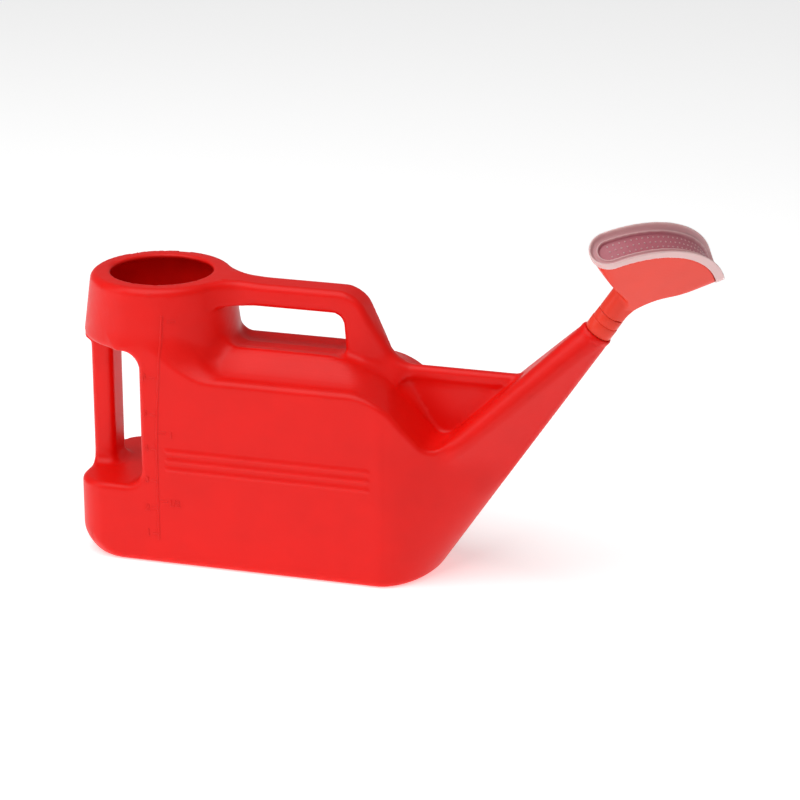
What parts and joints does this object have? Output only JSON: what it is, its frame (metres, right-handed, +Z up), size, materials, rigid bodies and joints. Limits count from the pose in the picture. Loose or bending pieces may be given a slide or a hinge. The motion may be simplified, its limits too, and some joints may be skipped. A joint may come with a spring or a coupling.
{
  "type": "watering can",
  "caption": "Plastic watering can with a boxy tank, round filler collar, top and rear grips, long tapering spout and a wide curved rose with a clear sprinkler face.",
  "frame": {"origin": "On the ground, on the flat underside of the can, straight below the centre of the filler mouth", "axes": "+X towards the spout and the rose, +Z up, Y across the can; Y = 0 is the plane of symmetry of the moulded body"},
  "size_m": [0.5687, 0.1388, 0.3398],
  "materials": {
    "body": "satin red blow-moulded polyethylene",
    "rose": "satin red injection-moulded plastic",
    "face": "cloudy translucent plastic"
  },
  "bodies": {
    "can": {"tank_base": "body", "tank_heel": "body", "tank_rear_wall": "body", "tank_side_left": "body", "tank_side_right": "body", "tank_nose_left": "body", "tank_nose_right": "body", "tank_front_slope": "body", "tank_shoulder": "body", "filler_collar": "body", "filler_rim": "body", "top_grip": "body", "rear_grip": "body", "spout": "body", "spout_rail": "body"},
    "rose_stem": {"rose_stem": "rose"},
    "rose_head": {"rose_head": "rose"},
    "rose_face": {"rose_face": "face"}
  },
  "joints": [
    {"name": "rose_pull_off", "type": "slide", "parent": "can", "child": "rose_stem", "axis": [0.5548, 0, 0.832], "range_m": [0, 0.05]},
    {"name": "rose_turn", "type": "hinge", "parent": "rose_stem", "child": "rose_head", "pos_m": [0.39591, 0, 0.23276], "axis": [0.5548, 0, 0.832], "continuous": true},
    {"name": "face_unclip", "type": "slide", "parent": "rose_head", "child": "rose_face", "axis": [0.6141, -0.1881, 0.7665], "range_m": [0, 0.03]}
  ]
}
